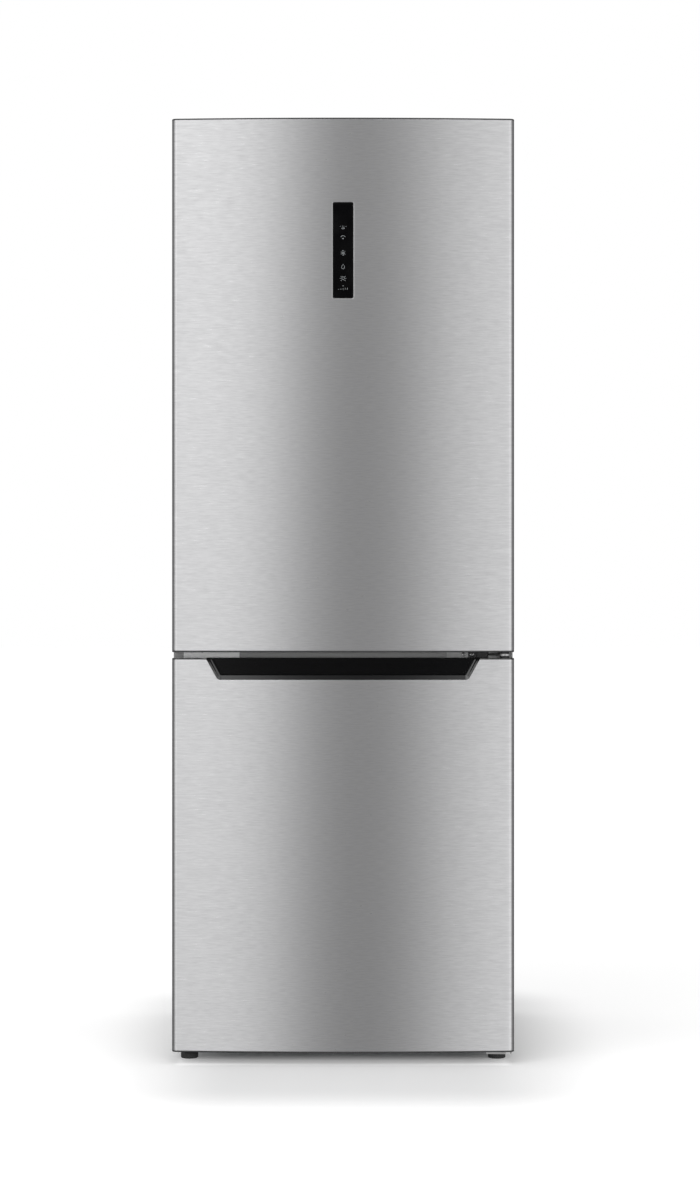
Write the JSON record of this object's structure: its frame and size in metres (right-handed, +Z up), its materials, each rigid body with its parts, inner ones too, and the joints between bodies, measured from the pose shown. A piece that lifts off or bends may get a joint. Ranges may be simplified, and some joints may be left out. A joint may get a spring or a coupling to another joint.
{
  "type": "refrigerator",
  "caption": "Tall free-standing refrigerator with a freezer below, bowed brushed-steel doors hung on the right, a black touch display and a recessed handle pocket.",
  "frame": {"origin": "on the floor, under the centre of the object's box", "axes": "+Z up, +X to the right seen from the front, +Y from the doors to the back"},
  "size_m": [0.7, 0.705, 1.931],
  "materials": {
    "brushed_door_steel": "horizontally brushed stainless sheet",
    "door_cap_plastic": "dark grey moulded, fine grain",
    "pocket_plastic": "black moulded, satin",
    "display_glass": "black back-printed glass",
    "display_case": "black moulded",
    "circuit_board": "solder-masked laminate",
    "cabinet_paint": "grey powder-coated sheet",
    "galvanised_sheet": "zinc-coated sheet",
    "rigid_foam": "closed-cell polyurethane foam",
    "white_liner": "vacuum-formed polystyrene",
    "grey_gasket": "soft extruded seal",
    "shelf_glass": "tempered glass",
    "shelf_trim": "satin silver moulded",
    "clear_plastic": "clear moulded polystyrene",
    "lamp_diffuser": "opal diffuser",
    "hinge_steel": "zinc-plated pressing",
    "hinge_cover_plastic": "grey moulded, fine grain",
    "blank_plate_plastic": "light grey moulded",
    "screw_zinc": "bright zinc plate",
    "foot_plastic": "dark moulded",
    "compressor_paint": "black enamel",
    "mount_rubber": "moulded rubber",
    "tube_paint": "black painted steel tube",
    "copper_pipe": "drawn copper",
    "tray_plastic": "moulded",
    "fin_aluminium": "rolled fins",
    "fan_plastic": "moulded",
    "motor_paint": "enamelled can",
    "gland_rubber": "moulded grommet"
  },
  "bodies": {
    "cabinet": {"cabinet_shell": "cabinet_paint", "mullion_plate": "cabinet_paint", "back_panel": "galvanised_sheet", "rear_cover": "galvanised_sheet", "base_frame": "galvanised_sheet", "insulation_foam": "rigid_foam", "fridge_liner": "white_liner", "freezer_liner": "white_liner", "air_duct_panel": "white_liner", "evaporator_cover": "white_liner", "glass_shelf_lower": "shelf_glass", "glass_shelf_middle": "shelf_glass", "glass_shelf_top": "shelf_glass", "crisper_cover": "shelf_glass", "freezer_shelves": "shelf_glass", "shelf_trims": "shelf_trim", "fridge_lamp": "lamp_diffuser", "top_hinge": "hinge_steel", "mid_hinge": "hinge_steel", "bottom_hinge": "hinge_steel", "top_hinge_cover": "hinge_cover_plastic", "hinge_blank_plate": "blank_plate_plastic", "hinge_screws": "screw_zinc", "compressor": "compressor_paint", "compressor_mounts": "mount_rubber", "condenser_coil": "tube_paint", "refrigerant_pipes": "copper_pipe", "drip_tray": "tray_plastic", "evaporator": "fin_aluminium", "evaporator_fan_motor": "motor_paint", "cord_gland": "gland_rubber"},
    "upper_door": {"upper_door_skin": "brushed_door_steel", "upper_door_foam": "rigid_foam", "upper_door_liner": "white_liner", "upper_door_top_cap": "door_cap_plastic", "upper_door_bottom_cap": "door_cap_plastic", "upper_door_gasket": "grey_gasket", "display_panel": "display_glass", "display_tray": "display_case", "display_board": "circuit_board"},
    "lower_door": {"lower_door_skin": "brushed_door_steel", "lower_door_foam": "rigid_foam", "lower_door_liner": "white_liner", "lower_door_top_cap": "pocket_plastic", "lower_door_bottom_cap": "door_cap_plastic", "lower_door_gasket": "grey_gasket"},
    "bottle_bin": {"bottle_bin": "clear_plastic"},
    "door_bin_lower": {"door_bin_lower": "clear_plastic"},
    "door_bin_middle": {"door_bin_middle": "clear_plastic"},
    "door_bin_top": {"door_bin_top": "clear_plastic"},
    "left_crisper": {"left_crisper": "clear_plastic"},
    "right_crisper": {"right_crisper": "clear_plastic"},
    "freezer_drawer_bottom": {"freezer_drawer_bottom": "clear_plastic"},
    "freezer_drawer_middle": {"freezer_drawer_middle": "clear_plastic"},
    "freezer_drawer_top": {"freezer_drawer_top": "clear_plastic"},
    "evaporator_fan": {"evaporator_fan": "fan_plastic"},
    "left_foot": {"left_foot": "foot_plastic"},
    "right_foot": {"right_foot": "foot_plastic"},
    "left_roller": {"left_roller": "foot_plastic"},
    "right_roller": {"right_roller": "foot_plastic"}
  },
  "joints": [
    {"name": "upper_door_hinge", "type": "hinge", "parent": "cabinet", "child": "upper_door", "pos_m": [0.332, -0.3085, 0], "axis": [0, 0, 1], "range_deg": [0, 130]},
    {"name": "lower_door_hinge", "type": "hinge", "parent": "cabinet", "child": "lower_door", "pos_m": [0.332, -0.3085, 0], "axis": [0, 0, 1], "range_deg": [0, 130]},
    {"name": "left_crisper_slide", "type": "slide", "parent": "cabinet", "child": "left_crisper", "axis": [0, -1, 0], "range_m": [0, 0.2401]},
    {"name": "right_crisper_slide", "type": "slide", "parent": "cabinet", "child": "right_crisper", "axis": [0, -1, 0], "range_m": [0, 0.2401]},
    {"name": "freezer_drawer_bottom_slide", "type": "slide", "parent": "cabinet", "child": "freezer_drawer_bottom", "axis": [0, -1, 0], "range_m": [0, 0.2101]},
    {"name": "freezer_drawer_middle_slide", "type": "slide", "parent": "cabinet", "child": "freezer_drawer_middle", "axis": [0, -1, 0], "range_m": [0, 0.2101]},
    {"name": "freezer_drawer_top_slide", "type": "slide", "parent": "cabinet", "child": "freezer_drawer_top", "axis": [0, -1, 0], "range_m": [0, 0.2101]},
    {"name": "bottle_bin_lift", "type": "slide", "parent": "upper_door", "child": "bottle_bin", "axis": [0, 0, 1], "range_m": [0, 0.03]},
    {"name": "door_bin_lower_lift", "type": "slide", "parent": "upper_door", "child": "door_bin_lower", "axis": [0, 0, 1], "range_m": [0, 0.03]},
    {"name": "door_bin_middle_lift", "type": "slide", "parent": "upper_door", "child": "door_bin_middle", "axis": [0, 0, 1], "range_m": [0, 0.03]},
    {"name": "door_bin_top_lift", "type": "slide", "parent": "upper_door", "child": "door_bin_top", "axis": [0, 0, 1], "range_m": [0, 0.03]},
    {"name": "evaporator_fan_spin", "type": "hinge", "parent": "cabinet", "child": "evaporator_fan", "pos_m": [0, 0.2275, 0.64], "axis": [0, 1, 0], "continuous": true},
    {"name": "left_foot_turn", "type": "hinge", "parent": "cabinet", "child": "left_foot", "pos_m": [-0.318, -0.262, 0], "axis": [0, 0, 1], "range_deg": [0, 3600]},
    {"name": "right_foot_turn", "type": "hinge", "parent": "cabinet", "child": "right_foot", "pos_m": [0.318, -0.262, 0], "axis": [0, 0, 1], "range_deg": [0, 3600]},
    {"name": "left_roller_spin", "type": "hinge", "parent": "cabinet", "child": "left_roller", "pos_m": [-0.3, 0.3, 0.014], "axis": [1, 0, 0], "continuous": true},
    {"name": "right_roller_spin", "type": "hinge", "parent": "cabinet", "child": "right_roller", "pos_m": [0.3, 0.3, 0.014], "axis": [1, 0, 0], "continuous": true}
  ],
  "couplings": [
    {"joint": "left_crisper_slide", "follows": "upper_door_hinge", "m_per_rad": 0.10578},
    {"joint": "right_crisper_slide", "follows": "upper_door_hinge", "m_per_rad": 0.10578},
    {"joint": "freezer_drawer_bottom_slide", "follows": "lower_door_hinge", "m_per_rad": 0.09256},
    {"joint": "freezer_drawer_middle_slide", "follows": "lower_door_hinge", "m_per_rad": 0.09256},
    {"joint": "freezer_drawer_top_slide", "follows": "lower_door_hinge", "m_per_rad": 0.09256}
  ]
}
